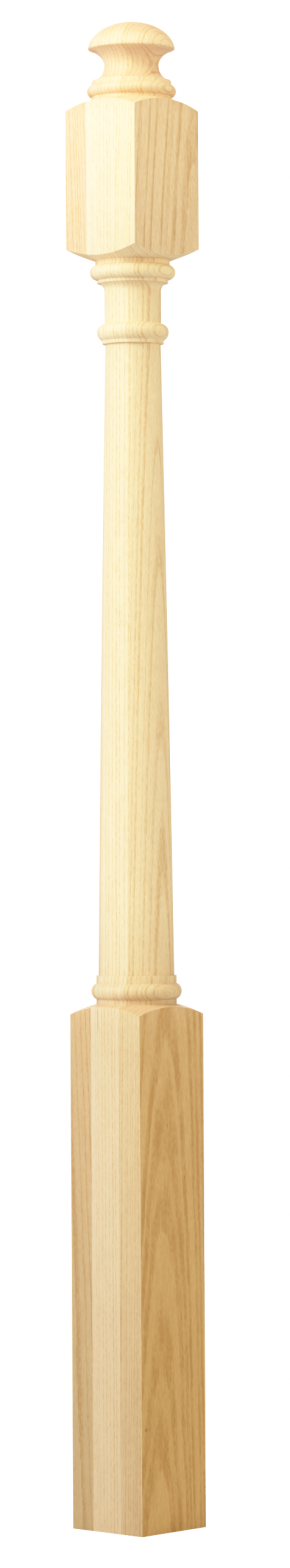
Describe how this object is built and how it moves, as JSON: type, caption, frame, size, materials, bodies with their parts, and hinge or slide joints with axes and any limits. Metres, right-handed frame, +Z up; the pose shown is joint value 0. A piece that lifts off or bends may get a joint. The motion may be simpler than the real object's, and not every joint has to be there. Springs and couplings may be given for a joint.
{
  "type": "newel post",
  "caption": "Turned hardwood newel post with domed mushroom cap, square rail block, beaded collars, tapered round shaft and long square foot block.",
  "frame": {"origin": "middle of the sawn underside of the foot block, on the turning axis", "axes": "+Z up along the turning axis to the cap; +X and +Y square to the flats of the two blocks"},
  "size_m": [0.0762, 0.0762, 1.2192],
  "materials": {
    "pale_oak": "planed and sanded ring-porous hardwood, bare or under a thin matt seal"
  },
  "bodies": {
    "root": {"newel_post": "pale_oak"}
  },
  "joints": []
}
